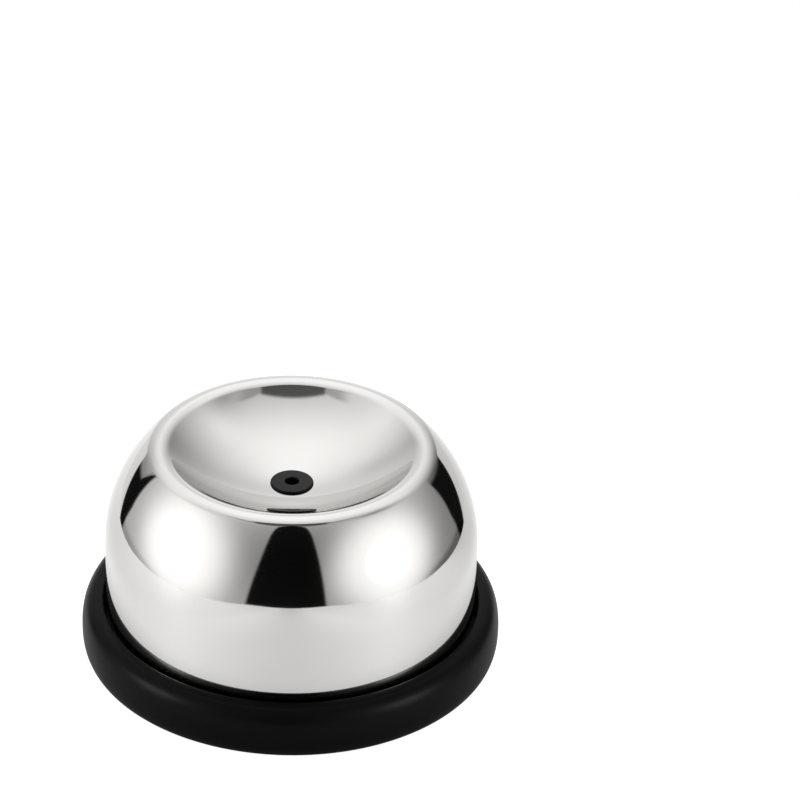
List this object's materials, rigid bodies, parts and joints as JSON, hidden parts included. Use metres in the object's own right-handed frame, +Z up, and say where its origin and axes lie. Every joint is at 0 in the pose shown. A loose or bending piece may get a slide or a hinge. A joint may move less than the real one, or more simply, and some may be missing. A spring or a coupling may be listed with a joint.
{
  "type": "egg piercer",
  "caption": "Press-down egg piercer: a sprung steel dome with a dished top and a central needle guide, over a low round rubber-ringed base.",
  "frame": {"origin": "on the table, under the middle of the dome", "axes": "+Z up, along the axis that the dome is pressed down; +X to the right of the pictured view, +Y away from it"},
  "size_m": [0.06, 0.06, 0.0326],
  "materials": {
    "polished_steel": "mirror-polished stainless steel",
    "carrier_plastic": "moulded ABS, fine satin",
    "guide_plastic": "moulded acetal, semi-gloss",
    "base_plastic": "moulded ABS, fine spark texture",
    "ring_rubber": "moulded rubber, satin",
    "spring_steel": "drawn spring wire and stamped spring strip",
    "plated_steel": "zinc-plated steel",
    "magnet_nickel": "nickel-plated sintered magnet",
    "knob_plastic": "moulded acetal, natural grey-white",
    "needle_steel": "ground and polished stainless steel"
  },
  "bodies": {
    "base": {"base_tray": "base_plastic", "base_ring": "ring_rubber", "bottom_cover": "base_plastic", "cover_screws": "plated_steel", "magnets": "magnet_nickel", "magnet_plate": "plated_steel", "spring_seat": "plated_steel", "return_spring": "spring_steel", "needle_spring": "spring_steel"},
    "plunger": {"dome_shell": "polished_steel", "dome_carrier": "carrier_plastic", "needle_guide": "guide_plastic", "guide_washer": "spring_steel"},
    "lock_knob": {"lock_knob": "knob_plastic"},
    "needle_carriage": {"needle_holder": "knob_plastic", "needle": "needle_steel"}
  },
  "joints": [
    {"name": "dome_press", "type": "slide", "parent": "base", "child": "plunger", "axis": [0, 0, -1], "range_m": [0, 0.0042], "stiffness_N_per_m": 900, "springref_m": -0.0033, "deforming": ["return_spring"]},
    {"name": "lock_turn", "type": "hinge", "parent": "base", "child": "lock_knob", "pos_m": [0, 0, 0.002], "axis": [0, 0, 1], "range_deg": [0, 120]},
    {"name": "needle_retract", "type": "slide", "parent": "base", "child": "needle_carriage", "axis": [0, 0, -1], "range_m": [0, 0.0036], "deforming": ["needle_spring"]}
  ],
  "couplings": [
    {"joint": "lock_turn", "follows": "needle_retract", "rad_per_m": 581.78}
  ]
}
